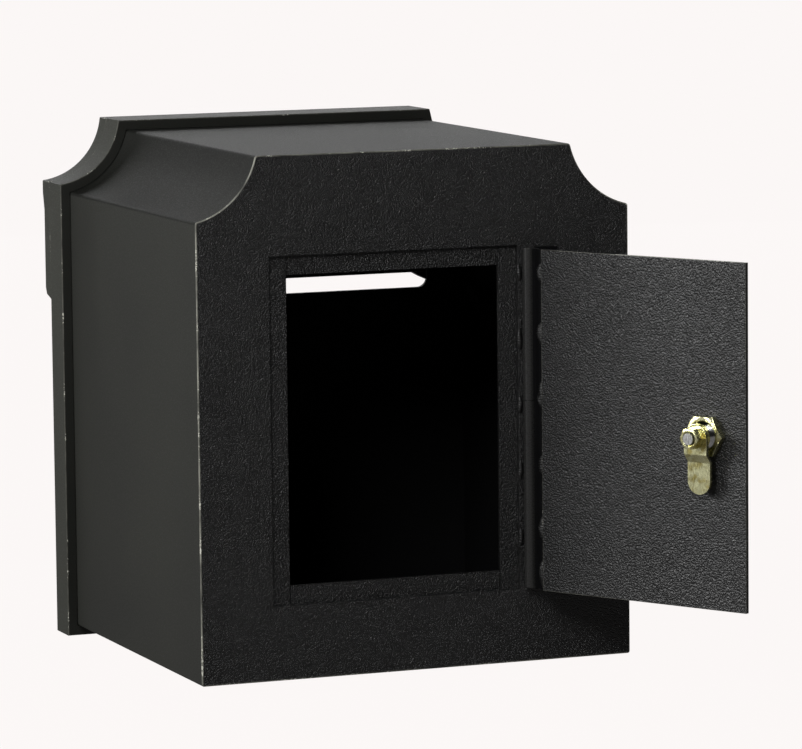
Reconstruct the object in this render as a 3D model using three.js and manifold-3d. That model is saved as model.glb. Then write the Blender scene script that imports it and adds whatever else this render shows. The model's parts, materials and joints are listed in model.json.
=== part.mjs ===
// Through-wall letter box with a lockable rear door, in millimetres, +Z up.
// X runs to the right as the owner looks at the door, +Y runs through the wall towards the street.
// The origin is on the wall lip's flat face, in the middle of its bottom strip.
import * as THREE from 'three';
import { mergeVertices } from 'three/addons/utils/BufferGeometryUtils.js';
import Module from 'manifold-3d';

const wasm = await Module();
wasm.setup();

// General
const gap = 0.3;               // left between pieces that touch
const sheet = 3;               // steel plate of the cabinet, the door and the street face
const arcSteps = 20;           // segments in each concave corner
const cutPast = 1;             // cutting shapes run on past the plate by this much

// Cabinet
const bodyWidth = 309;
const bodyHeight = 350;
const bodyDepth = 267;         // owner's face to the wall lip
const scoopRadius = 55.5;      // concave top corners
const scoopCentre = 12;        // the scoop's centre stands this far outside the corner, both ways

// Street face
const lipOverhang = 7;         // how far the street face stands out round the cabinet
const rimDepth = 27;
const slotCornerRadius = 7;
const slotWidth = 248;
const slotHeight = 36;
const slotBelowTop = 88;       // top of the cabinet to the top of the slot

// Rain hood
const hoodRise = 12;           // stands this far out of the street face
const browRise = 3;            // the hood's upper part stands out further still
const browBelowTop = 57;
const browBevel = 12;
const hoodBelowTop = 120;      // top of the cabinet to the bottom of the hood
const hoodFootRise = 3;        // the hood's underside slopes up towards the street by this much
const hoodFootHeight = 7.5;    // bottom of the hood to the top of its blunted lower edge
const hoodFootRun = 2.5;
const mouthWidth = 256;
const mouthHeight = 6;         // the hood's lower edge is cut back by this much along the mouth
const mouthSlant = 12;         // sloping ends of that cut

// Doorway, door and stops
const marginLeft = 51;
const marginRight = 81;
const marginTop = 67;
const marginBottom = 50;
const stopReach = 13;          // stops show this much inside the doorway
const stopWidth = 25;
const doorGap = 1.5;           // round the door
const doorHinge = 16;          // hinge axis to the near edge of the door
const doorOpen = 120;          // degrees, as stored

// Hinge
const barrelRadius = 4.2;
const pinRadius = 2.4;
const leafThickness = 2;
const frameLeaf = 22;
const doorLeaf = 28;
const hingeSetback = 6;        // doorway's edge to the hinge axis
const crankStart = 6.5;        // the door leaf leaves the barrel level with the pin, then cranks
const crankEnd = 11.5;
const upperKnuckle = 103;
const barrelClear = 0.2;       // front plate to the barrel

// Cam lock
const lockSetback = 31;        // door's free edge to the lock axis
const lockBarrel = 9.5;
const lockFlat = 8;            // half the width across the barrel's two flats
const lockHeadRadius = 12.5;
const lockHead = 4;
const headChamferWide = 2;     // the head's chamfer, across and along the lock
const headChamferDeep = 1.5;
const barrelProud = 8.5;       // barrel behind the door
const plugRadius = 6.2;
const keywayLength = 8.5;
const keywayWidth = 1.6;
const keywayDepth = 12;
const shankWidth = 7.6;
const lockNutAcross = 26;
const lockNutHeight = 5;
const washerRadius = 9;
const washerHeight = 1.5;
const camThickness = 2.5;
const camWidth = 18;
const camReach = 38;
const camCrankStart = 11.5;
const camCrankLength = 5;
const camCrank = 4;
const nutChamferShare = 0.06;  // corner chamfer over the width across flats
const nutCountersink = 0.8;    // at the mouth of each nut's hole
const studRadius = 3.9;
const studProud = 1;
const camNutAcross = 13;
const camNutHeight = 7;

// Places worked out from the sizes above
const bodyBottom = lipOverhang / 2;
const bodyTop = bodyBottom + bodyHeight;
const frontY = -bodyDepth;
const backY = rimDepth - sheet - gap;
const hoodFaceY = rimDepth + hoodRise;
const doorwayLeft = -bodyWidth / 2 + marginLeft;
const doorwayRight = bodyWidth / 2 - marginRight;
const doorwayLow = bodyBottom + marginBottom;
const doorwayHigh = bodyTop - marginTop;
const hingeX = doorwayRight + hingeSetback;
const hingeY = frontY - Math.max(leafThickness + gap, barrelRadius + barrelClear);
const doorFree = doorwayLeft + doorGap - hingeX;
const doorNear = -doorHinge;
const doorLow = doorwayLow + doorGap;
const doorHigh = doorwayHigh - doorGap;
const doorFaceY = frontY - hingeY;

const paint = { color: 0x1c1c1b, roughness: 0.55, metalness: 0.1 };
const darkSteel = { color: 0x262626, roughness: 0.4, metalness: 0.5 };
const bareSteel = { color: 0x8d8f90, roughness: 0.35, metalness: 1 };
const yellowZinc = { color: 0xb9ac6a, roughness: 0.35, metalness: 1 };
const dieCast = { color: 0xb4b6b8, roughness: 0.25, metalness: 1 };

const mailbox = new THREE.Group();

function piece(name, geometry, finish, parent = mailbox) {
  const mesh = new THREE.Mesh(geometry, new THREE.MeshStandardMaterial(finish));
  mesh.name = name;
  parent.add(mesh);
  return mesh;
}

// A closed three.js geometry as a solid that can be joined and cut.
function solid(geometry) {
  const bare = geometry.clone();
  bare.deleteAttribute('normal');
  bare.deleteAttribute('uv');
  const merged = mergeVertices(bare, 1e-5);
  return new wasm.Manifold(new wasm.Mesh({
    numProp: 3,
    vertProperties: new Float32Array(merged.attributes.position.array),
    triVerts: new Uint32Array(merged.index.array),
  }));
}

// The solid's triangles as a flat-shaded three.js geometry.
function faces(manifold) {
  const mesh = manifold.getMesh();
  const geometry = new THREE.BufferGeometry();
  geometry.setAttribute('position', new THREE.BufferAttribute(mesh.vertProperties, 3));
  geometry.setIndex(new THREE.BufferAttribute(mesh.triVerts, 1));
  const flat = geometry.toNonIndexed();
  flat.computeVertexNormals();
  return flat;
}

// A shape drawn in X and Z, thickened from y0 to y1.
function alongY(shape, y0, y1) {
  const geometry = new THREE.ExtrudeGeometry(shape, {
    depth: y1 - y0, bevelEnabled: false, curveSegments: arcSteps,
  });
  geometry.rotateX(Math.PI / 2);
  geometry.translate(0, y1, 0);
  return geometry;
}

// A shape drawn in Y and Z, thickened from x0 to x1.
function alongX(shape, x0, x1) {
  const geometry = new THREE.ExtrudeGeometry(shape, { depth: x1 - x0, bevelEnabled: false });
  geometry.rotateX(Math.PI / 2);
  geometry.rotateZ(Math.PI / 2);
  geometry.translate(x0, 0, 0);
  return geometry;
}

// A shape drawn in X and Y, thickened from z0 to z1.
function alongZ(shape, z0, z1) {
  const geometry = new THREE.ExtrudeGeometry(shape, { depth: z1 - z0, bevelEnabled: false });
  geometry.translate(0, 0, z0);
  return geometry;
}

function box(x0, x1, y0, y1, z0, z1) {
  const geometry = new THREE.BoxGeometry(x1 - x0, y1 - y0, z1 - z0);
  geometry.translate((x0 + x1) / 2, (y0 + y1) / 2, (z0 + z1) / 2);
  return geometry;
}

function polygon(points) {
  return new THREE.Shape(points.map(([a, b]) => new THREE.Vector2(a, b)));
}

// A cylinder about an upright axis, or about Y when lying.
function rod(radius, low, high, sides = 28) {
  const geometry = new THREE.CylinderGeometry(radius, radius, high - low, sides);
  geometry.rotateX(Math.PI / 2);
  geometry.translate(0, 0, (low + high) / 2);
  return geometry;
}

function lyingRod(radius, y0, y1, sides = 32) {
  const geometry = new THREE.CylinderGeometry(radius, radius, y1 - y0, sides);
  geometry.translate(0, (y0 + y1) / 2, 0);
  return geometry;
}

// How far back from the scoop's centre its arc meets the side and the top, on an outline grown by this much.
function scoopReach(grow) {
  return Math.sqrt((scoopRadius - grow) ** 2 - (scoopCentre - grow) ** 2);
}

// The cabinet's outline seen from the door, grown on every side by the given amount.
function outline(grow) {
  const half = bodyWidth / 2;
  const radius = scoopRadius - grow;
  const reach = scoopReach(grow);
  const inward = scoopCentre - grow;
  const centreX = half + scoopCentre;
  const centreZ = bodyTop + scoopCentre;
  const shape = new THREE.Shape();
  shape.moveTo(-half - grow, bodyBottom - grow);
  shape.lineTo(half + grow, bodyBottom - grow);
  shape.absarc(centreX, centreZ, radius, Math.atan2(-reach, -inward), Math.atan2(-inward, -reach), true);
  shape.absarc(-centreX, centreZ, radius, Math.atan2(-inward, reach), Math.atan2(-reach, inward), true);
  shape.closePath();
  return shape;
}

// Cabinet walls: flat plates and two concave strips, mitred where they meet.
const half = bodyWidth / 2;
const mitre = gap / Math.SQRT2;
const skinFrontY = frontY + sheet + gap;
const outerEnd = scoopReach(0) - scoopCentre;
const innerEnd = scoopReach(-sheet) - scoopCentre;
const shoulder = bodyTop - outerEnd;
const innerShoulder = bodyTop - innerEnd;
const crown = half - outerEnd;
const innerCrown = half - innerEnd;

function sideWall(sign) {
  const points = [
    [half, bodyBottom + mitre], [half, shoulder - mitre],
    [half - sheet, innerShoulder - mitre], [half - sheet, bodyBottom + sheet + mitre],
  ];
  return alongY(polygon(points.map(([x, z]) => [sign * x, z])), skinFrontY, backY);
}

// The strip lies between two arcs about the scoop's centre, one plate apart.
function scoopWall(sign) {
  const points = [];
  function addArc(radius, setBack, backwards) {
    const start = Math.asin(setBack / radius) + mitre / radius;
    for (let i = 0; i <= arcSteps; i += 1) {
      const share = (backwards ? arcSteps - i : i) / arcSteps;
      const turn = start + (Math.PI / 2 - 2 * start) * share;
      const x = half + scoopCentre - radius * Math.sin(turn);
      points.push([sign * x, bodyTop + scoopCentre - radius * Math.cos(turn)]);
    }
  }
  addArc(scoopRadius, scoopCentre, false);
  addArc(scoopRadius + sheet, scoopCentre + sheet, true);
  return alongY(polygon(points), skinFrontY, backY);
}

piece('left_side', sideWall(-1), paint);
piece('right_side', sideWall(1), paint);
piece('left_scoop', scoopWall(-1), paint);
piece('right_scoop', scoopWall(1), paint);
piece('bottom_plate', alongY(polygon([
  [-half + mitre, bodyBottom], [half - mitre, bodyBottom],
  [half - sheet - mitre, bodyBottom + sheet], [-half + sheet + mitre, bodyBottom + sheet],
]), skinFrontY, backY), paint);
piece('top_plate', alongY(polygon([
  [-crown + mitre, bodyTop], [crown - mitre, bodyTop],
  [innerCrown - mitre, bodyTop - sheet], [-innerCrown + mitre, bodyTop - sheet],
]), skinFrontY, backY), paint);

// Front plate with the doorway.
const doorway = box(
  doorwayLeft, doorwayRight, frontY - cutPast, frontY + sheet + cutPast, doorwayLow, doorwayHigh,
);
const frontPlate = solid(alongY(outline(0), frontY, frontY + sheet)).subtract(solid(doorway));
piece('front_plate', faces(frontPlate), paint);

// Door stops: four flat bars behind the doorway's edges, the upright ones full height.
const stopY = frontY + sheet + gap;
const stopLow = doorwayLow + stopReach - stopWidth;
const stopHigh = doorwayHigh - stopReach + stopWidth;
const stopLeft = doorwayLeft + stopReach;
const stopRight = doorwayRight - stopReach;
piece('stop_left', box(stopLeft - stopWidth, stopLeft, stopY, stopY + sheet, stopLow, stopHigh), paint);
piece('stop_right', box(stopRight, stopRight + stopWidth, stopY, stopY + sheet, stopLow, stopHigh), paint);
piece('stop_bottom', box(
  stopLeft + gap, stopRight - gap, stopY, stopY + sheet, stopLow, stopLow + stopWidth,
), paint);
piece('stop_top', box(
  stopLeft + gap, stopRight - gap, stopY, stopY + sheet, stopHigh - stopWidth, stopHigh,
), paint);

// Street side: the lip that seats on the wall, and a deep tray whose face has the letter slot.
const slotHigh = bodyTop - slotBelowTop;
const slotLow = slotHigh - slotHeight;
const slotShape = new THREE.Shape();
const corner = Math.min(slotCornerRadius, slotHeight / 2);
slotShape.moveTo(-slotWidth / 2 + corner, slotLow);
slotShape.absarc(slotWidth / 2 - corner, slotLow + corner, corner, -Math.PI / 2, 0, false);
slotShape.absarc(slotWidth / 2 - corner, slotHigh - corner, corner, 0, Math.PI / 2, false);
slotShape.absarc(-slotWidth / 2 + corner, slotHigh - corner, corner, Math.PI / 2, Math.PI, false);
slotShape.absarc(-slotWidth / 2 + corner, slotLow + corner, corner, Math.PI, 1.5 * Math.PI, false);

const lip = solid(alongY(outline(lipOverhang), 0, sheet))
  .subtract(solid(alongY(outline(gap), -cutPast, sheet + cutPast)));
piece('wall_lip', faces(lip), paint);

const tray = solid(alongY(outline(lipOverhang), sheet + gap, rimDepth))
  .subtract(solid(alongY(outline(lipOverhang - sheet), 0, rimDepth - sheet)))
  .subtract(solid(alongY(slotShape, 0, rimDepth + cutPast)));
piece('street_face', faces(tray), paint);

// Rain hood: the outline of the street face, cut to a stepped side profile and hollowed from below.
const hoodLow = bodyTop - hoodBelowTop;
const hoodStartY = rimDepth + gap;
const browLow = bodyTop - browBelowTop;
const hoodTop = bodyTop + lipOverhang + cutPast;
const browFaceY = hoodFaceY + browRise;

// The hood's side profile, moved inwards by one plate for its hollow.
function hoodProfile(startY, inset) {
  return polygon([
    [startY, hoodLow + inset],
    [hoodFaceY - hoodFootRun - inset, hoodLow + hoodFootRise + inset],
    [hoodFaceY - inset, hoodLow + hoodFootHeight + inset],
    [hoodFaceY - inset, browLow],
    [browFaceY - inset, browLow + browBevel],
    [browFaceY - inset, hoodTop],
    [startY, hoodTop],
  ]);
}

const hoodSpan = half + lipOverhang + cutPast;
const hoodOuter = solid(alongY(outline(lipOverhang), hoodStartY, browFaceY + cutPast))
  .intersect(solid(alongX(hoodProfile(hoodStartY, 0), -hoodSpan, hoodSpan)));
const hoodHollow = solid(alongY(outline(lipOverhang - sheet), hoodStartY - cutPast, browFaceY))
  .intersect(solid(alongX(hoodProfile(hoodStartY - cutPast, sheet), -hoodSpan, hoodSpan)));
const mouthEnd = mouthWidth / 2;
const mouth = alongY(polygon([
  [-mouthEnd, hoodLow - cutPast], [mouthEnd, hoodLow - cutPast],
  [mouthEnd - mouthSlant, hoodLow + mouthHeight], [-mouthEnd + mouthSlant, hoodLow + mouthHeight],
]), hoodStartY - cutPast, browFaceY);
piece('rain_hood', faces(hoodOuter.subtract(hoodHollow).subtract(solid(mouth))), paint);

// Hinge: a frame leaf on the front plate and a door leaf on the door, each with one knuckle.
// Both are drawn about the hinge axis with the door shut.
const leafBack = doorFaceY - gap;
const leafFront = leafBack - leafThickness;
const hingeLow = doorLow;
const hingeHigh = doorHigh;
const knuckleSplit = hingeHigh - upperKnuckle;
const clearOfBarrel = barrelRadius + 2 * gap;

const frameLeafShape = polygon([
  [0, leafFront], [frameLeaf, leafFront], [frameLeaf, leafBack], [0, leafBack],
]);
const doorLeafShape = polygon([
  [0, -leafThickness / 2], [-crankStart, -leafThickness / 2],
  [-crankEnd, leafFront], [-doorLeaf, leafFront],
  [-doorLeaf, leafBack], [-crankEnd, leafBack],
  [-crankStart, leafThickness / 2], [0, leafThickness / 2],
]);

// A leaf over the hinge's full height, with its own knuckle and room for the other one.
function hingeHalf(leafShape, ownLow, ownHigh, otherLow, otherHigh) {
  return solid(alongZ(leafShape, hingeLow, hingeHigh))
    .subtract(solid(rod(clearOfBarrel, otherLow, otherHigh)))
    .add(solid(rod(barrelRadius, ownLow, ownHigh)))
    .subtract(solid(rod(pinRadius + gap, hingeLow - cutPast, hingeHigh + cutPast)));
}

const frameKnuckleTop = knuckleSplit - gap / 2;
const doorKnuckleLow = knuckleSplit + gap / 2;
const hingeGroup = new THREE.Group();
hingeGroup.position.set(hingeX, hingeY, 0);
mailbox.add(hingeGroup);
const frameHalf = hingeHalf(
  frameLeafShape, hingeLow, frameKnuckleTop, frameKnuckleTop, hingeHigh + cutPast,
);
piece('hinge_frame_leaf', faces(frameHalf), darkSteel, hingeGroup);
piece('hinge_pin', rod(pinRadius, hingeLow, hingeHigh), bareSteel, hingeGroup);

const doorGroup = new THREE.Group();
doorGroup.position.set(hingeX, hingeY, 0);
doorGroup.rotation.z = THREE.MathUtils.degToRad(doorOpen);
mailbox.add(doorGroup);
const doorHalf = hingeHalf(
  doorLeafShape, doorKnuckleLow, hingeHigh, hingeLow - cutPast, doorKnuckleLow,
);
piece('hinge_door_leaf', faces(doorHalf), darkSteel, doorGroup);

// Door plate, with the double-D hole that stops the lock's barrel from turning.
const lockX = doorFree + lockSetback;
const lockZ = (doorwayLow + doorwayHigh) / 2;

function doubleD(radius, flat, y0, y1) {
  return solid(lyingRod(radius, y0, y1)).intersect(solid(box(-radius, radius, y0, y1, -flat, flat)));
}

const lockHole = doubleD(
  lockBarrel + gap, lockFlat + gap, doorFaceY - cutPast, doorFaceY + sheet + cutPast,
);
const doorPlate = solid(box(doorFree, doorNear, doorFaceY, doorFaceY + sheet, doorLow, doorHigh))
  .subtract(lockHole.translate(lockX, 0, lockZ));
piece('door_plate', faces(doorPlate), paint, doorGroup);

// Cam lock, drawn about its own axis, with y = 0 on the door's inner face.
const lockGroup = new THREE.Group();
lockGroup.position.set(lockX, doorFaceY + sheet, lockZ);
doorGroup.add(lockGroup);

function hexNut(across, y0, y1, bore) {
  const corners = across / Math.sqrt(3);
  const chamfer = across * nutChamferShare;
  const blank = new THREE.CylinderGeometry(corners, corners, y1 - y0, 6);
  blank.rotateY(Math.PI / 6);
  blank.translate(0, (y0 + y1) / 2, 0);
  const cone = new THREE.LatheGeometry([
    new THREE.Vector2(0, y0),
    new THREE.Vector2(corners + cutPast, y0),
    new THREE.Vector2(corners + cutPast, y1 - chamfer),
    new THREE.Vector2(across / 2, y1),
    new THREE.Vector2(0, y1),
  ], 36);
  const countersink = new THREE.LatheGeometry([
    new THREE.Vector2(0, y1 - nutCountersink),
    new THREE.Vector2(bore, y1 - nutCountersink),
    new THREE.Vector2(bore + 2 * nutCountersink, y1 + nutCountersink),
    new THREE.Vector2(0, y1 + nutCountersink),
  ], 32);
  return solid(blank)
    .intersect(solid(cone))
    .subtract(solid(lyingRod(bore, y0 - cutPast, y1 + cutPast)))
    .subtract(solid(countersink));
}

const headFront = -sheet - gap - lockHead;
const headShape = new THREE.LatheGeometry([
  new THREE.Vector2(0, headFront),
  new THREE.Vector2(lockHeadRadius - headChamferWide, headFront),
  new THREE.Vector2(lockHeadRadius, headFront + headChamferDeep),
  new THREE.Vector2(lockHeadRadius, -sheet - gap),
  new THREE.Vector2(0, -sheet - gap),
], 40);
const lockBody = solid(headShape)
  .add(doubleD(lockBarrel, lockFlat, -sheet - gap - cutPast, barrelProud))
  .subtract(solid(lyingRod(plugRadius + gap, headFront - cutPast, barrelProud + cutPast)));
piece('lock_body', faces(lockBody), dieCast, lockGroup);
const lockNut = hexNut(lockNutAcross, gap, gap + lockNutHeight, lockBarrel + gap);
piece('lock_nut', faces(lockNut), yellowZinc, lockGroup);

// What turns with the key. It is drawn with the cam hanging down.
const washerY = barrelProud + gap;
const camY = washerY + washerHeight + gap;
const camNutY = camY + camThickness + gap;
const studEnd = camNutY + camNutHeight + studProud;
const keyway = box(
  -keywayWidth / 2, keywayWidth / 2, headFront - cutPast, headFront + keywayDepth,
  -keywayLength / 2, keywayLength / 2,
);
const halfShank = shankWidth / 2;
const plug = solid(lyingRod(plugRadius, headFront, barrelProud))
  .add(solid(box(-halfShank, halfShank, barrelProud - cutPast, camNutY - gap, -halfShank, halfShank)))
  .add(solid(lyingRod(studRadius, barrelProud, studEnd, 24)))
  .subtract(solid(keyway));
piece('lock_plug', faces(plug), dieCast, lockGroup);

function squareHole(y0, y1) {
  const reach = halfShank + gap;
  return solid(box(-reach, reach, y0 - cutPast, y1 + cutPast, -reach, reach));
}

const stopWasher = solid(lyingRod(washerRadius, washerY, washerY + washerHeight))
  .subtract(squareHole(washerY, washerY + washerHeight));
piece('lock_stop_washer', faces(stopWasher), yellowZinc, lockGroup);

// The cam is a strap cranked towards the door, with a round eye and a round tip.
const camFar = camY + camThickness;
const camBendEnd = camCrankStart + camCrankLength;
const camSide = polygon([
  [camY, camWidth / 2], [camFar, camWidth / 2],
  [camFar, -camCrankStart], [camFar - camCrank, -camBendEnd],
  [camFar - camCrank, -camReach], [camY - camCrank, -camReach],
  [camY - camCrank, -camBendEnd], [camY, -camCrankStart],
]);
const camPlan = new THREE.Shape();
camPlan.absarc(0, 0, camWidth / 2, 0, Math.PI, false);
camPlan.absarc(0, -camReach + camWidth / 2, camWidth / 2, Math.PI, 2 * Math.PI, false);
camPlan.closePath();
const cam = solid(alongX(camSide, -camWidth / 2 - cutPast, camWidth / 2 + cutPast))
  .intersect(solid(alongY(camPlan, camY - camCrank - cutPast, camFar + cutPast)))
  .subtract(squareHole(camY, camFar));
piece('lock_cam', faces(cam), yellowZinc, lockGroup);
const camNut = hexNut(camNutAcross, camNutY, camNutY + camNutHeight, studRadius + gap);
piece('cam_nut', faces(camNut), yellowZinc, lockGroup);

export default mailbox;
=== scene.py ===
import json
import math
import bmesh
import bpy
import numpy as np
from mathutils import Matrix, Vector


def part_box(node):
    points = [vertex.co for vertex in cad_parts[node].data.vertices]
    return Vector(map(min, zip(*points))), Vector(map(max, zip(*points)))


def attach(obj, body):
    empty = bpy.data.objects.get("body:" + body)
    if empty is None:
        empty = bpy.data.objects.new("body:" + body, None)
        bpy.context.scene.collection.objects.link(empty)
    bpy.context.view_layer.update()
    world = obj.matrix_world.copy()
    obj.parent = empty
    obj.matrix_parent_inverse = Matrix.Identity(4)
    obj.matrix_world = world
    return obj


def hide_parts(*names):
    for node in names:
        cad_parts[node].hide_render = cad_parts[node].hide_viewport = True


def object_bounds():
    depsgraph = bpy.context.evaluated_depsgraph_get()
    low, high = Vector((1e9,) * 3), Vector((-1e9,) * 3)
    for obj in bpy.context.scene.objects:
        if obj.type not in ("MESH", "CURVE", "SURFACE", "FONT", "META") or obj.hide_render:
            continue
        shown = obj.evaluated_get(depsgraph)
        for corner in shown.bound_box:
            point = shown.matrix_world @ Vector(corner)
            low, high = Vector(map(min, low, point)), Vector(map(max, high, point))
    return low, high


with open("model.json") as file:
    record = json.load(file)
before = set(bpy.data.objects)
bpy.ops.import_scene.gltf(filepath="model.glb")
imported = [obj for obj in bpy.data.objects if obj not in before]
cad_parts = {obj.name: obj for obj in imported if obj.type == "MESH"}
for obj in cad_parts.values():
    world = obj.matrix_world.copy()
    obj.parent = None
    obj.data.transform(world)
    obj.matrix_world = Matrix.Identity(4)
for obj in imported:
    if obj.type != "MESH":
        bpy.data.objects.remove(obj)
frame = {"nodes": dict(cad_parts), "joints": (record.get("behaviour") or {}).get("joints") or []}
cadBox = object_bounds()
mm = 0.001


# Small helpers

def colour(hexCode):
    # sRGB hex to linear, with alpha 1
    parts = [int(hexCode[i:i + 2], 16) / 255 for i in (1, 3, 5)]
    return (*[c / 12.92 if c <= 0.04045 else ((c + 0.055) / 1.055) ** 2.4 for c in parts], 1.0)


def addNode(tree, kind, settings=None, links=None):
    # Settings go to properties or, if the name is a socket's, to that socket. Links are given as
    # {socket: (node, output)}.
    node = tree.nodes.new(kind)
    for name, value in (settings or {}).items():
        if isinstance(name, str) and hasattr(node, name):
            setattr(node, name, value)
        else:
            node.inputs[name].default_value = value
    for name, (source, output) in (links or {}).items():
        tree.links.new(source.outputs[output], node.inputs[name])
    return node


def ramp(tree, source, output, stops):
    # a colour ramp with its stops as (position, colour)
    node = addNode(tree, "ShaderNodeValToRGB", links={"Fac": (source, output)})
    elements = node.color_ramp.elements
    while len(elements) < len(stops):
        elements.new(0.5)
    for element, (position, tint) in zip(elements, stops):
        element.position = position
        element.color = tint
    return node


def grey(value):
    return (value, value, value, 1.0)


def startMaterial(name, **settings):
    # a new material with these constants on its shader's sockets
    material = bpy.data.materials.new(name)
    material.use_nodes = True
    tree = material.node_tree
    shader = tree.nodes["Principled BSDF"]
    for socket, value in settings.items():
        shader.inputs[socket].default_value = value
    coords = addNode(tree, "ShaderNodeTexCoord")
    return material, tree, shader, coords


def perMetre(sizeMm):
    # texture scale that gives cells of this size
    return 1.0 / (sizeMm * mm)


# Materials

def powderCoat(name, look):
    # Black polyester powder coat, sprayed and baked. It flows out into a leather grain or an orange
    # peel, so highlights break up into small pale crescents. The valleys are duller, and their colour
    # is darkened as painted shade.
    material, tree, shader, coords = startMaterial(name, **{"Specular IOR Level": look["specular"]})
    place = (coords, "Object")
    grain = addNode(tree, "ShaderNodeTexVoronoi", {
        "feature": "SMOOTH_F1", "Scale": perMetre(look["grainMm"]), "Smoothness": 0.5, "Randomness": 1.0},
        {"Vector": place})
    ripple = addNode(tree, "ShaderNodeTexNoise", {
        "Scale": perMetre(look["grainMm"] * 1.7), "Detail": 2.0, "Roughness": 0.55}, {"Vector": place})
    swell = addNode(tree, "ShaderNodeMath", {"operation": "MULTIPLY_ADD", 1: 0.6, 2: 0.3},
                    {0: (ripple, "Fac")})
    relief = addNode(tree, "ShaderNodeMath", {"operation": "SUBTRACT"},
                     {0: (swell, "Value"), 1: (grain, "Distance")})
    bump = addNode(tree, "ShaderNodeBump", {
        "Strength": look["bump"], "Distance": look["grainDepthMm"] * mm}, {"Height": (relief, "Value")})
    tree.links.new(bump.outputs["Normal"], shader.inputs["Normal"])
    cloud = addNode(tree, "ShaderNodeTexNoise", {
        "Scale": perMetre(look["mottleMm"]), "Detail": 4.0, "Roughness": 0.55}, {"Vector": place})
    tint = ramp(tree, cloud, "Fac", [(0.3, colour(look["dark"])), (0.7, colour(look["light"]))])
    # painted shade: the colour darkens towards the grain's valleys
    paintedValleyShade = ramp(tree, relief, "Value", [(0.1, grey(1 - look["paintedValleyShade"])), (0.45, grey(1))])
    tintWithPaintedShade = addNode(tree, "ShaderNodeMix", {"data_type": "RGBA", "blend_type": "MULTIPLY"})
    tintWithPaintedShade.inputs[0].default_value = 1.0
    tree.links.new(tint.outputs["Color"], tintWithPaintedShade.inputs[6])
    tree.links.new(paintedValleyShade.outputs["Color"], tintWithPaintedShade.inputs[7])
    tree.links.new(tintWithPaintedShade.outputs[2], shader.inputs["Base Color"])
    gloss = ramp(tree, relief, "Value", [(0.1, grey(look["rough"] + 0.1)),
                                         (0.45, grey(look["rough"] - 0.04))])
    tree.links.new(gloss.outputs["Color"], shader.inputs["Roughness"])
    return material, tree, shader, coords, tintWithPaintedShade


def wornCoat(name, look):
    # The same coat on an arris, where knocks have chipped it through to pale primer and steel. Its
    # tone is also painted lighter than the coat, a painted highlight along the arris.
    material, tree, shader, coords, tintWithPaintedShade = powderCoat(name, look)
    chips = addNode(tree, "ShaderNodeTexNoise", {
        "Scale": perMetre(look["chipMm"]), "Detail": 2.0, "Roughness": 0.7}, {"Vector": (coords, "Object")})
    patches = addNode(tree, "ShaderNodeTexNoise", {
        "Scale": perMetre(look["chipPatchMm"]), "Detail": 1.0}, {"Vector": (coords, "Object")})
    chance = addNode(tree, "ShaderNodeMath", {"operation": "MULTIPLY"},
                     {0: (chips, "Fac"), 1: (patches, "Fac")})
    bare = ramp(tree, chance, "Value", [(look["chipFrom"], grey(0)), (look["chipFrom"] + 0.02, grey(1))])
    mixed = addNode(tree, "ShaderNodeMix", {"data_type": "RGBA"})
    tree.links.new(bare.outputs["Color"], mixed.inputs[0])
    tree.links.new(tintWithPaintedShade.outputs[2], mixed.inputs[6])
    mixed.inputs[7].default_value = colour(look["chip"])
    tree.links.new(mixed.outputs[2], shader.inputs["Base Color"])
    return material


# the front plate's coat is sprayed thick, so its leather grain stands up
leatherLook = {"dark": "#1a1a1a", "light": "#242424", "mottleMm": 60, "rough": 0.32, "specular": 0.5,
               "grainMm": 0.9, "grainDepthMm": 0.95, "bump": 0.95, "paintedValleyShade": 0.65}
doorLook = {**leatherLook, "dark": "#242424", "light": "#2e2e2e", "grainMm": 1.15, "grainDepthMm": 0.8}
# the rest is sprayed thin and dries satin, almost smooth
satinLook = {"dark": "#171814", "light": "#1e1f1a", "mottleMm": 110, "rough": 0.5, "specular": 0.33,
             "grainMm": 1.0, "grainDepthMm": 0.06, "bump": 0.3, "paintedValleyShade": 0.08}
# the top: a coarser grain, and a tone painted lighter than the sides, painted light on the upward face
litTopLook = {**satinLook, "dark": "#1d1e1b", "light": "#252622", "grainDepthMm": 0.5, "bump": 0.8,
           "paintedValleyShade": 0.35}
rimLook = {**satinLook, "dark": "#262722", "light": "#2e2f29"}
# the rolled scoops: a duller coat, its tone painted darker than the sides, painted shade on the sloped
# faces
shadedScoopLook = {**satinLook, "dark": "#0c0d0a", "light": "#11120e", "specular": 0.23}
insideLook = {**satinLook, "dark": "#050506", "light": "#08080a", "rough": 0.7, "specular": 0.25}
# the hinge leaves: painted shade, a near black dull coat that stands for the shadow in the recess between
# knuckle and door edge
shadedLeafLook = {**satinLook, "dark": "#040405", "light": "#08080a", "mottleMm": 12, "rough": 0.75,
              "specular": 0.12}
# the hinge knuckles: a smoother rubbed coat, its tone painted lighter as a painted sheen
knuckleSheenLook = {**satinLook, "dark": "#262626", "light": "#30302f", "rough": 0.22, "specular": 0.5,
               "grainMm": 0.9, "grainDepthMm": 0.03}
weldLook = {**leatherLook, "light": "#2c2c2b", "rough": 0.3, "grainMm": 0.8, "grainDepthMm": 0.25,
            "bump": 0.6}
# arrises: real chips, and a tone painted much lighter than the coat as a painted highlight along the edge
edgeSheenLook = {**satinLook, "dark": "#30302c", "light": "#8c8c82", "mottleMm": 22, "rough": 0.4,
            "chip": "#c4c3b8", "chipMm": 1.6, "chipPatchMm": 18, "chipFrom": 0.35}
# the rim's and hood's arrises: real chips, and a tone painted lighter as a painted highlight along the edge
rimEdgeSheenLook = {**edgeSheenLook, "dark": "#2e2e2a", "light": "#55554e", "mottleMm": 10}

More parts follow.
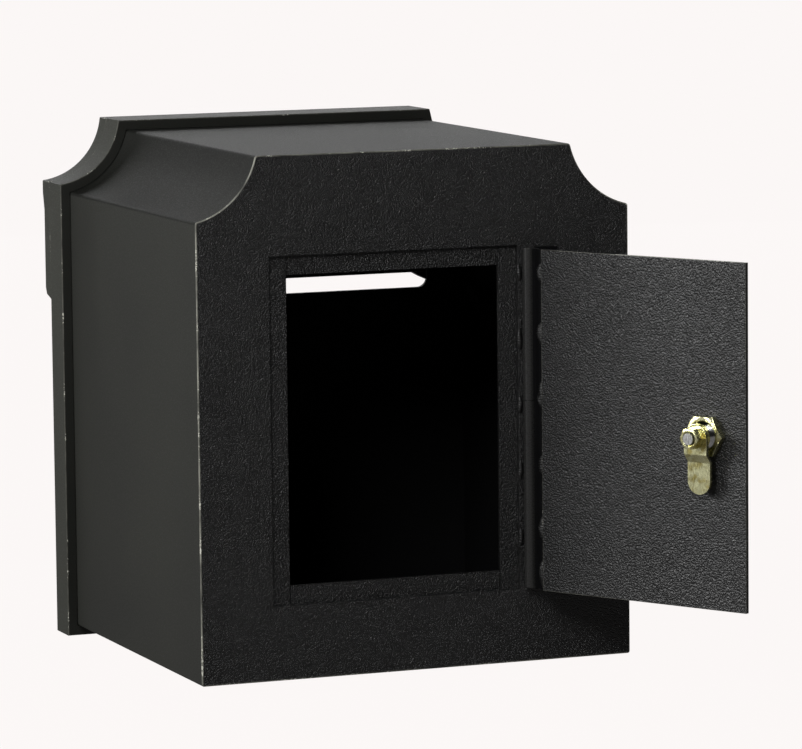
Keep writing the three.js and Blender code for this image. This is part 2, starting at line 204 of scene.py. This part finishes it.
leatherCoat = powderCoat("powderCoatLeatherGrain", leatherLook)[0]
doorCoat = powderCoat("powderCoatDoorGrain", doorLook)[0]
satinCoat = powderCoat("powderCoatSatin", satinLook)[0]
insideCoat = powderCoat("powderCoatInside", insideLook)[0]
litTopCoat = powderCoat("powderCoatTopPaintedLight", litTopLook)[0]
rimCoat = powderCoat("powderCoatRim", rimLook)[0]
knuckleSheenCoat = powderCoat("powderCoatHingeKnucklePaintedSheen", knuckleSheenLook)[0]
shadedLeafCoat = powderCoat("powderCoatHingeLeafPaintedShade", shadedLeafLook)[0]
weldCoat = powderCoat("powderCoatOverWeld", weldLook)[0]
shadedScoopCoat = powderCoat("powderCoatScoopPaintedShade", shadedScoopLook)[0]
edgeSheenCoat = wornCoat("powderCoatChippedEdgePaintedSheen", edgeSheenLook)
rimEdgeSheenCoat = wornCoat("powderCoatChippedRimPaintedSheen", rimEdgeSheenLook)


def platedMetal(name, look):
    # Zinc or chrome plate over steel or a die casting. Yellow passivate dries in cloudy bands of pale
    # green and gold; handling leaves fine scratches along one direction.
    material, tree, shader, coords = startMaterial(name, Metallic=1.0)
    place = (coords, "Object")
    cloud = addNode(tree, "ShaderNodeTexNoise", {
        "Scale": perMetre(look["cloudMm"]), "Detail": 3.0, "Distortion": 0.8}, {"Vector": place})
    tint = ramp(tree, cloud, "Fac", [(0.32, colour(look["first"])), (0.5, colour(look["second"])),
                                     (0.68, colour(look["third"]))])
    tree.links.new(tint.outputs["Color"], shader.inputs["Base Color"])
    stretch = addNode(tree, "ShaderNodeMapping", {"Scale": look["scratchStretch"]}, {"Vector": place})
    scratch = addNode(tree, "ShaderNodeTexNoise", {
        "Scale": perMetre(look["scratchMm"]), "Detail": 4.0, "Roughness": 0.65},
        {"Vector": (stretch, "Vector")})
    gloss = ramp(tree, scratch, "Fac", [(0.3, grey(look["rough"] - 0.08)),
                                        (0.7, grey(look["rough"] + 0.1))])
    tree.links.new(gloss.outputs["Color"], shader.inputs["Roughness"])
    bump = addNode(tree, "ShaderNodeBump", {
        "Strength": look["bump"], "Distance": look["scratchDeepMm"] * mm}, {"Height": (scratch, "Fac")})
    tree.links.new(bump.outputs["Normal"], shader.inputs["Normal"])
    return material


yellowLook = {"first": "#f3f2c2", "second": "#dedcae", "third": "#b9ad6c", "cloudMm": 6, "rough": 0.22,
              "scratchMm": 0.5, "scratchDeepMm": 0.02, "scratchStretch": (1.0, 1.0, 0.15), "bump": 0.35}
silverLook = {**yellowLook, "first": "#cfcfcc", "second": "#bdbdbb", "third": "#dadad6", "rough": 0.24}
chromeLook = {**silverLook, "rough": 0.14, "bump": 0.1, "first": "#dcdddf", "third": "#e2e2e2"}
pinLook = {**silverLook, "first": "#8f8f8c", "second": "#a2a29f", "third": "#b0b0ac", "rough": 0.3}

yellowZinc = platedMetal("yellowPassivatedZinc", yellowLook)
silverZinc = platedMetal("clearPassivatedZinc", silverLook)
chromePlate = platedMetal("chromedDieCasting", chromeLook)
pinSteel = platedMetal("drawnSteelPin", pinLook)
print("materials made")


# Pieces made from arrays

def gridMesh(name, points, materials, bandMaterial=None, closedRows=True):
    # points[row, column] is a surface on a grid of two parameters: rows go along the section, columns
    # round the path, which closes on itself, as the section may. A row whose points coincide is a pole.
    rows, columns = points.shape[:2]
    index = np.arange(rows * columns).reshape(rows, columns)
    down = np.vstack([index[1:], index[:1]]) if closedRows else index[1:]
    here = index if closedRows else index[:-1]
    left = np.arange(columns)
    right = np.roll(left, -1)
    quads = np.stack([here[:, left], down[:, left], down[:, right], here[:, right]], -1).reshape(-1, 4)
    mesh = bpy.data.meshes.new(name)
    mesh.from_pydata(points.reshape(-1, 3).tolist(), [], quads.tolist())
    for material in materials:
        mesh.materials.append(material)
    if bandMaterial is not None:
        mesh.polygons.foreach_set("material_index", np.repeat(np.array(bandMaterial, np.int32), len(left)))
    work = bmesh.new()
    work.from_mesh(mesh)
    bmesh.ops.remove_doubles(work, verts=work.verts, dist=1e-6)
    bmesh.ops.dissolve_degenerate(work, edges=work.edges, dist=1e-6)
    bmesh.ops.recalc_face_normals(work, faces=work.faces)
    work.to_mesh(mesh)
    work.free()
    piece = bpy.data.objects.new(name, mesh)
    bpy.context.scene.collection.objects.link(piece)
    return piece


smoothAngle = math.radians(40)  # on swept and turned pieces, gentler turns than this are shaded smooth
arrisAngle = math.radians(30)   # on the other pieces, sharper turns than this are rounded
noEdgeCoat = -1


def smoothSides(piece):
    piece.data.shade_smooth()
    piece.data.set_sharp_from_angle(angle=smoothAngle)


def roundArrises(piece, width, edgeIndex):
    # rounds every arris, and gives the rounding its own material where there is one
    piece.data.shade_smooth()
    piece.data.set_sharp_from_angle(angle=arrisAngle)
    bevel = piece.modifiers.new("arris", "BEVEL")
    bevel.width = width * mm
    bevel.segments = 3
    bevel.limit_method = "ANGLE"
    bevel.angle_limit = arrisAngle
    bevel.harden_normals = True
    bevel.material = edgeIndex


def softened(node, body, materials, width, edgeIndex=noEdgeCoat, tuck=None):
    # A copy of a CAD node, merged, with its arrises rounded, that stands for the node. With a tuck, all
    # that lies nearer the door than its first depth moves to its second, to hide a seam.
    source = frame["nodes"][node]
    mesh = source.data.copy()
    mesh.materials.clear()
    for material in materials:
        mesh.materials.append(material)
    work = bmesh.new()
    work.from_mesh(mesh)
    bmesh.ops.remove_doubles(work, verts=work.verts, dist=2e-6)
    bmesh.ops.dissolve_limit(work, angle_limit=math.radians(1.0), verts=work.verts, edges=work.edges)
    for face in work.faces:
        face.material_index = 0
    for vertex in work.verts:
        if tuck and vertex.co.y < tuck[0] * mm:
            vertex.co.y = tuck[1] * mm
    work.to_mesh(mesh)
    work.free()
    for name in [a.name for a in mesh.attributes if a.name in ("custom_normal", "sharp_face")]:
        mesh.attributes.remove(mesh.attributes[name])
    piece = bpy.data.objects.new(node + "_finished", mesh)
    bpy.context.scene.collection.objects.link(piece)
    roundArrises(piece, width, edgeIndex)
    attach(piece, body)
    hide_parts(node)
    return piece


# The cabinet's outline

shellSize = {"sheet": 3.0, "scoopRadius": 55.5, "scoopCentre": 12.0, "arcSteps": 28,
             "doorway": (-103.5, 73.5, 53.5, 286.5),  # its x from and to, then its z
             "arris": 0.9, "doorwayArris": 0.5, "cornerRounding": 1.8, "roundSteps": 4}
boxLow, boxHigh = [np.array(corner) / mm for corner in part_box("front_plate")]


def grown(hole, grow):
    return (hole[0] - grow, hole[1] + grow, hole[2] - grow, hole[3] + grow)


def holeRim(hole, radius):
    # the hole's corner points, each an arc if the hole has a radius
    turn = np.linspace(0, math.pi / 2, 8 if radius else 1)
    inset = radius * (1 - np.stack([np.cos(turn), np.sin(turn)], 1))
    inward = (1, -1, 1, -1)
    return np.vstack([np.stack([hole[i] + inward[i] * inset[:, 0], hole[k] + inward[k] * inset[:, 1]], 1)
                      for i in (0, 1) for k in (2, 3)])


def rounded(loop, corners, size):
    # each corner becomes a parabola that leaves its two sides this far from the corner
    points = []
    for i, point in enumerate(loop):
        ahead, behind = loop[(i + 1) % len(loop)] - point, loop[i - 1] - point
        ahead, behind = size * ahead / np.linalg.norm(ahead), size * behind / np.linalg.norm(behind)
        points += [point + (1 - t) ** 2 * behind + t ** 2 * ahead for t in (0, 0.25, 0.5, 0.75, 1)] \
            if i in corners else [point]
    return np.array(points)


def outlineLoop(hole, holeRadius, holeGrow, rounding):
    # The outline as points with their outward mitre directions. Each scoop is an arc whose centre stands
    # outside the top corner. Each point of the hole's corners, seen from the hole's centre, also gets a
    # point on the outline, so that a ruled face between the two keeps its corners.
    x1, z0, z1 = boxHigh[0], boxLow[2], boxHigh[2]
    radius, back = shellSize["scoopRadius"], shellSize["scoopCentre"]
    start = math.asin(back / radius)
    turn = np.linspace(start, math.pi / 2 - start, shellSize["arcSteps"] + 1)
    arc = np.stack([x1 + back - radius * np.sin(turn), z1 + back - radius * np.cos(turn)], 1)
    rightHalf = np.vstack([[x1, z0], arc])
    loop = np.vstack([rightHalf, rightHalf[::-1] * [-1, 1]])
    last = len(loop) - 1
    loop = rounded(loop, (0, 1, last // 2, last // 2 + 1, last - 1, last) if rounding else (), rounding)
    centre = np.array([(hole[0] + hole[1]) / 2, (hole[2] + hole[3]) / 2])
    side = np.roll(loop, -1, 0) - loop
    offset = loop - centre
    order, extra = [], []
    rim = np.vstack([holeRim(grown(hole, grow), holeRadius + grow * (holeRadius > 0)) for grow in holeGrow])
    for ray in rim - centre:
        cross = ray[0] * side[:, 1] - ray[1] * side[:, 0]
        along = (offset[:, 0] * side[:, 1] - offset[:, 1] * side[:, 0]) / cross
        share = (offset[:, 0] * ray[1] - offset[:, 1] * ray[0]) / cross
        for i in np.where((along > 0) & (share > 1e-4) & (share < 1 - 1e-4))[0]:
            order.append(i + share[i])
            extra.append(loop[i] + share[i] * side[i])
    points = np.vstack([loop, extra])[np.argsort(np.concatenate([np.arange(len(loop)), order]))]
    ahead = np.roll(points, -1, 0) - points
    ahead /= np.linalg.norm(ahead, axis=1, keepdims=True)
    normal = np.stack([ahead[:, 1], -ahead[:, 0]], 1)
    before = np.roll(normal, 1, 0)
    mitre = (normal + before) / (1 + (normal * before).sum(1, keepdims=True))
    return points, mitre, centre


def holeLoop(points, centre, hole, radius):
    # Where a ray from the hole's centre to each outline point crosses the hole's edge, which is a
    # straight side or the circle of the corner that the ray passes.
    half = np.array([hole[1] - hole[0], hole[3] - hole[2]]) / 2
    ray = points - centre
    edge = ray / (np.abs(ray) / half).max(1, keepdims=True)
    unit = ray / np.linalg.norm(ray, axis=1, keepdims=True)
    middle = np.sign(ray) * (half - radius)
    inCorner = (np.abs(edge) > half - radius + 1e-9).all(1) & (radius > 0)
    toward = (unit * middle).sum(1)
    root = np.sqrt(np.maximum(toward ** 2 - (middle ** 2).sum(1) + radius ** 2, 0))
    return centre + np.where(inCorner[:, None], unit * (toward + root)[:, None], edge)


def sweptShell(name, hole, radius, rounding, section, materials):
    # One closed skin: a section is carried round the outline. A section point is (where, grow, depth,
    # material of the band after it), with where saying whether it follows the outline or the hole.
    holeGrow = sorted({grow for where, grow, *_ in section if where == "hole"})
    points, mitre, centre = outlineLoop(hole, radius, holeGrow, rounding)
    rows = []
    for where, grow, depth, _ in section:
        if where == "outline":
            flat = points + grow * mitre
        else:
            flat = holeLoop(points, centre, grown(hole, grow), radius + grow * (radius > 0))
        rows.append(np.stack([flat[:, 0], np.full(len(flat), depth), flat[:, 1]], 1))
    piece = gridMesh(name, np.array(rows) * mm, materials, [band for *_, band in section])
    smoothSides(piece)
    flatten = piece.modifiers.new("flatFaces", "WEIGHTED_NORMAL")
    flatten.keep_sharp = True
    return piece


def outlineRound(grow, depth, size, bands):
    # section points of a quarter round where the outline's side turns into its face
    turns = np.linspace(0, math.pi / 2, shellSize["roundSteps"] + 1)
    points = [("outline", grow - size * (1 - math.cos(t)), depth + size * (1 - math.sin(t))) for t in turns]
    coats = [bands[0]] * shellSize["roundSteps"] + [bands[1]]
    return [(*point, coat) for point, coat in zip(points, coats)]


def holeRound(depth, size, band):
    # section points of a quarter round where a face turns into the hole
    turns = np.linspace(0, math.pi / 2, shellSize["roundSteps"] + 1)
    return [("hole", size * (1 - math.sin(t)), depth + size * (1 - math.cos(t)), band) for t in turns]


frontY = boxLow[1]
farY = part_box("left_side")[1][1] / mm
sheet = shellSize["sheet"]
onSides, onFront, onArris, within, onLitTop, onShadedScoops = range(6)  # places in the shell's list of materials
shell = sweptShell("cabinetShell", shellSize["doorway"], 0, shellSize["cornerRounding"], [
    ("outline", 0, farY, onSides), *outlineRound(0, frontY, shellSize["arris"], (onArris, onFront)),
    *holeRound(frontY, shellSize["doorwayArris"], onFront), ("hole", 0, frontY + sheet, within),
    ("outline", -sheet, frontY + sheet, within), ("outline", -sheet, farY, within),
], [satinCoat, leatherCoat, edgeSheenCoat, insideCoat, litTopCoat, shadedScoopCoat])
for face in shell.data.polygons:  # the top takes a coarser coat painted lighter as painted light, the rolled strips a duller coat painted darker as painted shade
    if face.material_index == onSides and face.normal.z > 0.1:
        face.material_index = onLitTop if face.normal.z > 0.99 else onShadedScoops
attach(shell, "cabinet")
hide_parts("front_plate", "left_side", "right_side", "left_scoop", "right_scoop",
            "bottom_plate", "top_plate")

traySize = {"reach": 7.0, "rim": 27.0, "clear": 0.3, "arris": 0.7,
            "slot": (-124.0, 124.0, 229.5, 265.5), "slotCorner": 7.0}
reach, rim, clear, arris = [traySize[part] for part in ("reach", "rim", "clear", "arris")]
eased = 0.3 * arris  # a point of the arris's quarter round, in from its two faces
onRim, onLip, onRimArris, within = range(4)  # places in the tray's list of materials
tray = sweptShell("streetTray", traySize["slot"], traySize["slotCorner"], 0, [
    ("outline", clear, 0, onLip), ("outline", reach - arris, 0, onRimArris),
    ("outline", reach - eased, eased, onRimArris), ("outline", reach, arris, onRim),
    ("outline", reach, rim - arris, onRimArris), ("outline", reach - eased, rim - eased, onRimArris),
    ("outline", reach - arris, rim, onRim), ("hole", 0, rim, onRim), ("hole", 0, rim - sheet, within),
    ("outline", reach - sheet, rim - sheet, within), ("outline", reach - sheet, sheet, within),
    ("outline", clear, sheet, onLip),
], [rimCoat, satinCoat, rimEdgeSheenCoat, insideCoat])
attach(tray, "cabinet")
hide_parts("wall_lip", "street_face")
print("cabinet shell and street tray made")

hoodTuck = (traySize["rim"] + 0.4, traySize["rim"] - 1.0)  # the hood's edge goes 1 mm into the tray's face
for node in ("stop_left", "stop_right", "stop_top", "stop_bottom"):
    softened(node, "cabinet", [leatherCoat], 0.5)
softened("rain_hood", "cabinet", [rimCoat, rimEdgeSheenCoat], 0.6, edgeIndex=1, tuck=hoodTuck)
frameLeaf = softened("hinge_frame_leaf", "cabinet", [knuckleSheenCoat, shadedLeafCoat], 0.3)
softened("hinge_pin", "cabinet", [pinSteel], 0.3)
doorLeaf = softened("hinge_door_leaf", "door", [knuckleSheenCoat, shadedLeafCoat], 0.3)
softened("door_plate", "door", [doorCoat, edgeSheenCoat], 0.7, edgeIndex=1)
softened("lock_nut", "door", [yellowZinc], 0.3)
softened("lock_plug", "lock_rotor", [silverZinc], 0.3)
softened("lock_stop_washer", "lock_rotor", [yellowZinc], 0.2)
softened("lock_cam", "lock_rotor", [yellowZinc], 0.35)
softened("cam_nut", "lock_rotor", [yellowZinc], 0.3)
print("plates, hinge and lock finished")


# Hinge

hinge = next(j for j in frame["joints"] if j["name"] == "door_hinge")
hingeAt = np.array(hinge["pos_m"]) / mm
openTurn = math.radians(-hinge["range_deg"][0])

knuckleReach = 4.4
for leaf in (frameLeaf, doorLeaf):  # the knuckles are rubbed and shiny with a painted sheen, the leaves beside them dull and painted near black as painted shade
    for face in leaf.data.polygons:
        if math.dist(face.center[:2], hingeAt[:2] * mm) > knuckleReach * mm:
            face.material_index = 1


def doorPoint(points):
    # points drawn with the door shut, about the hinge axis, moved to where the open door holds them
    x, y, z = np.moveaxis(np.asarray(points, float), -1, 0)
    turned = [x * math.cos(openTurn) - y * math.sin(openTurn) + hingeAt[0],
              x * math.sin(openTurn) + y * math.cos(openTurn) + hingeAt[1], z]
    return np.stack(turned, -1)


# Threaded lock barrel

barrelSize = {"radius": 9.5, "flat": 8.0, "pitch": 1.0, "threadDepth": 0.55, "lead": 0.7, "bore": 6.5,
              "head": 12.5, "headFront": -7.3, "headBack": -3.3, "end": 8.5,
              "x": -150.5, "y": 7.4, "z": 170.0, "columns": 72, "rowsPerPitch": 8}


def threadedBarrel(size):
    # A profile turned about the lock's axis. Along the thread its radius falls and rises once a pitch,
    # one pitch further on after each turn, with a chamfered lead at its end, and is cut off where it
    # passes the two flats.
    turn = np.linspace(0, 2 * math.pi, size["columns"], endpoint=False)
    count = int((size["end"] - size["headBack"]) / size["pitch"] * size["rowsPerPitch"])
    depth = np.linspace(size["headBack"], size["end"], count)[:, None]
    phase = depth / size["pitch"] - turn[None] / (2 * math.pi)
    valley = np.abs(2 * (phase - np.floor(phase)) - 1)
    radius = size["radius"] - size["threadDepth"] * np.clip(1.25 * valley - 0.1, 0, 1)
    run = np.clip((size["end"] - depth) / size["lead"], 0, 1)
    radius = radius * run + (size["radius"] - size["lead"]) * (1 - run)
    radius = np.minimum(radius, size["flat"] / np.maximum(np.abs(np.sin(turn))[None], 1e-6))
    ring = np.ones_like(turn)
    front, back, head = size["headFront"], size["headBack"], size["head"]
    before = [(size["bore"], size["end"]), (size["bore"], front + 0.4), (size["bore"] + 0.4, front),
              (head - 2.4, front), (head - 1.2, front + 0.35), (head - 0.3, front + 1.0),
              (head, front + 1.8), (head, back - 0.3), (head - 0.3, back)]
    radii = np.vstack([[r * ring for r, _ in before], radius])
    depths = np.vstack([[d * ring for _, d in before], depth * ring])
    across, upward = radii * np.cos(turn), radii * np.sin(turn)
    return doorPoint(np.stack([size["x"] + across, size["y"] + depths, size["z"] + upward], -1)) * mm


barrel = gridMesh("lockBarrelThreaded", threadedBarrel(barrelSize), [chromePlate])
smoothSides(barrel)
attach(barrel, "door")
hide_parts("lock_body")
print("lock barrel made")


# Weld stitches

weldSize = {"rows": 34, "columns": 20, "ripplePitch": 1.7, "ripple": 0.10, "lump": 0.16, "flush": 7.45}


def weldStitch(name, body, centre, length, radius, seed):
    # A bead laid upright: its radius swells as the root of a half wave from end to end, carries one
    # ripple for each pool of weld metal, and wanders a little with smooth random lumps. On the door it is
    # ground flush, so that the door shuts on its stop.
    draw = np.random.default_rng(seed)
    t = np.linspace(0, 1, weldSize["rows"])[:, None]
    turn = np.linspace(0, 2 * math.pi, weldSize["columns"], endpoint=False)[None]
    swell = np.sqrt(np.sin(math.pi * t).clip(0))
    pools = length / weldSize["ripplePitch"]
    ripples = weldSize["ripple"] * np.sin(2 * math.pi * pools * t + 0.8 * np.cos(turn))
    lumps = sum(weldSize["lump"] / k
                * np.sin(k * turn + draw.uniform(0, 6.3) + 5 * k * t * draw.uniform(0.4, 1.3))
                for k in (1, 2, 3))
    r = radius * swell * (1 + ripples + lumps)
    x = centre[0] + r * np.cos(turn)
    y = centre[1] + r * np.sin(turn)
    z = np.broadcast_to(centre[2] + length * (t - 0.5), x.shape)
    if body == "door":
        points = doorPoint(np.stack([x, np.minimum(y, weldSize["flush"]), z], -1))
    else:
        points = np.stack([x, y, z], -1)
    bead = gridMesh(name, points * mm, [weldCoat], closedRows=False)
    bead.data.shade_smooth()
    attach(bead, body)


frameHeights = (268.5, 223.5, 179.0, 134.5, 89.5)
doorHeights = (269.0, 228.0, 187.0, 140.0, 97.0, 66.0)
# each row stands at one x and y, with the door shut, and its beads take the lengths in turn
weldRows = {
    "weldFrameJamb": {"body": "cabinet", "at": (74.1, -267.5), "heights": frameHeights,
                      "lengths": (12, 14), "radius": 1.9, "seed": 11},
    "weldFrameLeaf": {"body": "cabinet", "at": (101.7, -267.7), "heights": frameHeights,
                      "lengths": (14,), "radius": 1.6, "seed": 31},
    "weldDoorEdge": {"body": "door", "at": (-14.3, 4.7), "heights": doorHeights,
                     "lengths": (13, 16, 19), "radius": 2.9, "seed": 51},
    "weldDoorLeaf": {"body": "door", "at": (-28.3, 3.7), "heights": doorHeights,
                     "lengths": (13,), "radius": 1.5, "seed": 71},
}
for name, row in weldRows.items():
    for number, height in enumerate(row["heights"]):
        length = row["lengths"][number % len(row["lengths"])]
        weldStitch(f"{name}_{number}", row["body"], (*row["at"], height), length, row["radius"],
                   row["seed"] + number)
print("weld stitches laid")


# Stage, light and camera

studio = {"paper": "#fbf7f6", "floorGlow": 1.0, "floorLight": 0.19, "floorAlbedo": "#0e0e0e",
          "ambient": 0.01, "floorDrop": 0.2, "floorHalf": 14.0}
# the camera stands well back, to the left of the door and a little above it, and looks at the target
view = {"yaw": 0.3736, "pitch": 0.1198, "roll": -0.0105, "focalPx": 5101.8, "distance": 3.3972,
        "target": (-11.27, -267.0, 203.83), "widthPx": 802, "sensorMm": 36}

scene = bpy.context.scene
scene.view_settings.view_transform = "Standard"
scene.view_settings.look = "None"


def brightToCamera(tree, seen, shed):
    # a glow that is pale where it is looked at, and softer as a light, as paper far behind a set is
    path = addNode(tree, "ShaderNodeLightPath")
    return addNode(tree, "ShaderNodeMath", {"operation": "MULTIPLY_ADD", 1: seen - shed, 2: shed},
                   {0: (path, "Is Camera Ray")})


floorMaterial, tree, shader, _ = startMaterial("paleFloorPaper", Roughness=0.9)
shader.inputs["Base Color"].default_value = colour(studio["floorAlbedo"])
shader.inputs["Specular IOR Level"].default_value = 0.0
shader.inputs["Emission Color"].default_value = colour(studio["paper"])
glow = brightToCamera(tree, studio["floorGlow"], studio["floorLight"])
tree.links.new(glow.outputs["Value"], shader.inputs["Emission Strength"])
floorZ = cadBox[0][2] - studio["floorDrop"] * mm
far = studio["floorHalf"]
floorMesh = bpy.data.meshes.new("floor")
floorMesh.from_pydata([(-far, -far, floorZ), (far, -far, floorZ), (far, far, floorZ), (-far, far, floorZ)],
                      [], [(0, 1, 2, 3)])
floorMesh.materials.append(floorMaterial)
floor = bpy.data.objects.new("floor", floorMesh)
scene.collection.objects.link(floor)

world = bpy.data.worlds.new("paleRoom")
world.use_nodes = True
scene.world = world
sky = world.node_tree.nodes["Background"]
sky.inputs["Color"].default_value = colour(studio["paper"])
glow = brightToCamera(world.node_tree, 1.0, studio["ambient"])
world.node_tree.links.new(glow.outputs["Value"], sky.inputs["Strength"])

lamps = {
    "overFront": {"at": (-0.3, -1.0, 2.0), "aim": (0, -0.2, 0.2), "size": (1.0, 1.0), "watts": 4.5},
    "leftBox": {"at": (-2.3, 0.22, 0.8), "aim": (0, -0.2, 0.2), "size": (0.8, 0.8), "watts": 50},
    "leftStrip": {"at": (-2.0, -0.5, 0.5), "aim": (0.1, -0.3, 0.2), "size": (0.12, 0.6), "watts": 4.5},
    "backGlow": {"at": (0.8, 2.8, 0.8), "aim": (0, 0, 0.2), "size": (3.0, 1.6), "watts": 34},
    "frontFill": {"at": (-0.62, -1.05, 0.8), "aim": (0, -0.2, 0.2), "size": (0.35, 0.35), "watts": 7.0},
}
for name, lamp in lamps.items():
    data = bpy.data.lights.new(name, "AREA")
    data.shape = "RECTANGLE"
    data.size, data.size_y = lamp["size"]
    data.energy = lamp["watts"]
    light = bpy.data.objects.new(name, data)
    scene.collection.objects.link(light)
    light.location = lamp["at"]
    light.rotation_euler = (Vector(lamp["aim"]) - Vector(lamp["at"])).to_track_quat("-Z", "Y").to_euler()
    light.visible_camera = False

yaw, pitch, roll = view["yaw"], view["pitch"], view["roll"]
forward = Vector((math.sin(yaw) * math.cos(pitch), math.cos(yaw) * math.cos(pitch), -math.sin(pitch)))
level = Vector((math.cos(yaw), -math.sin(yaw), 0))
upright = level.cross(forward)
right = math.cos(roll) * level + math.sin(roll) * upright
up = right.cross(forward)
camera = bpy.data.objects.new("camera", bpy.data.cameras.new("camera"))
scene.collection.objects.link(camera)
camera.data.sensor_fit = "HORIZONTAL"
camera.data.sensor_width = view["sensorMm"]
camera.data.lens = view["focalPx"] * view["sensorMm"] / view["widthPx"]
camera.data.clip_end = 100
place = Vector(view["target"]) * mm - forward * view["distance"]
camera.matrix_world = Matrix((
    (right.x, up.x, -forward.x, place.x), (right.y, up.y, -forward.y, place.y),
    (right.z, up.z, -forward.z, place.z), (0, 0, 0, 1)))
scene.camera = camera
print("stage ready")
